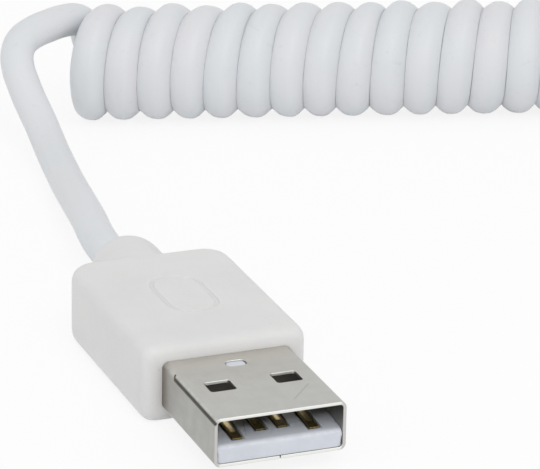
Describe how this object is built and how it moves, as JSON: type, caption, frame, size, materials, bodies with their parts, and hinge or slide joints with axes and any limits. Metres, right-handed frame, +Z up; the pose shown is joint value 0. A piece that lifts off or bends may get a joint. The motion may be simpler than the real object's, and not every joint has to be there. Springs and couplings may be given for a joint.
{
  "type": "charging cable",
  "caption": "White spiral charging cable with a flat USB-A plug, straight tails, a closed coil and a small latched far plug.",
  "frame": {"origin": "under the middle of the USB-A plug (shell, grip and collar), on the surface that the cable lies on", "axes": "+Z up; the USB-A plug's open end points along -Y and its cord leaves along +Y; +X is to the right as seen from the plug's open end, with its wide window side up"},
  "size_m": [0.1447, 0.0988, 0.0124],
  "materials": {
    "shell_nickel": "smooth nickel plate with a fine grain",
    "insulator_pale": "satin",
    "insulator_dark": "satin",
    "contact_gold": "smooth thin gold plate",
    "solder": "bright solder",
    "shield_tin": "tinned sheet, dull",
    "inner_mould": "natural",
    "wire_red": "satin",
    "wire_white": "satin",
    "wire_green": "satin",
    "wire_black": "satin",
    "braid_copper": "tinned copper braid",
    "jacket": "smooth satin, slightly soft",
    "grip_plastic": "satin",
    "latch_steel": "spring steel, bright"
  },
  "bodies": {
    "cable": {"usb_a_shell": "shell_nickel", "usb_a_insulator": "insulator_pale", "usb_a_contact_vbus": "contact_gold", "usb_a_contact_data_minus": "contact_gold", "usb_a_contact_data_plus": "contact_gold", "usb_a_contact_ground": "contact_gold", "usb_a_solder_joints": "solder", "usb_a_shield_upper": "shield_tin", "usb_a_shield_lower": "shield_tin", "usb_a_inner_mould": "inner_mould", "usb_a_wire_vbus": "wire_red", "usb_a_wire_data_minus": "wire_white", "usb_a_wire_data_plus": "wire_green", "usb_a_wire_ground": "wire_black", "usb_a_braid": "braid_copper", "usb_a_cord_end": "jacket", "usb_a_grip": "grip_plastic", "cord_tail_a": "jacket", "cord_coil": "jacket", "cord_tail_b": "jacket", "micro_b_shell": "shell_nickel", "micro_b_insulator": "insulator_dark", "micro_b_contact_vbus": "contact_gold", "micro_b_contact_data_minus": "contact_gold", "micro_b_contact_data_plus": "contact_gold", "micro_b_contact_id": "contact_gold", "micro_b_contact_ground": "contact_gold", "micro_b_solder_joints": "solder", "micro_b_shield_upper": "shield_tin", "micro_b_shield_lower": "shield_tin", "micro_b_inner_mould": "inner_mould", "micro_b_wire_vbus": "wire_red", "micro_b_wire_data_minus": "wire_white", "micro_b_wire_data_plus": "wire_green", "micro_b_wire_ground": "wire_black", "micro_b_braid": "braid_copper", "micro_b_cord_end": "jacket", "micro_b_grip": "grip_plastic"},
    "latch_left": {"micro_b_latch_left": "latch_steel"},
    "latch_right": {"micro_b_latch_right": "latch_steel"}
  },
  "joints": [
    {"name": "latch_left_press", "type": "hinge", "parent": "cable", "child": "latch_left", "pos_m": [0.07919, 0.02197, 0.00375], "axis": [0, -1, 0], "range_deg": [0, 8.5], "stiffness_Nm_per_rad": 0.025},
    {"name": "latch_right_press", "type": "hinge", "parent": "cable", "child": "latch_right", "pos_m": [0.07919, 0.01767, 0.00375], "axis": [0, -1, 0], "range_deg": [0, 8.5], "stiffness_Nm_per_rad": 0.025}
  ]
}
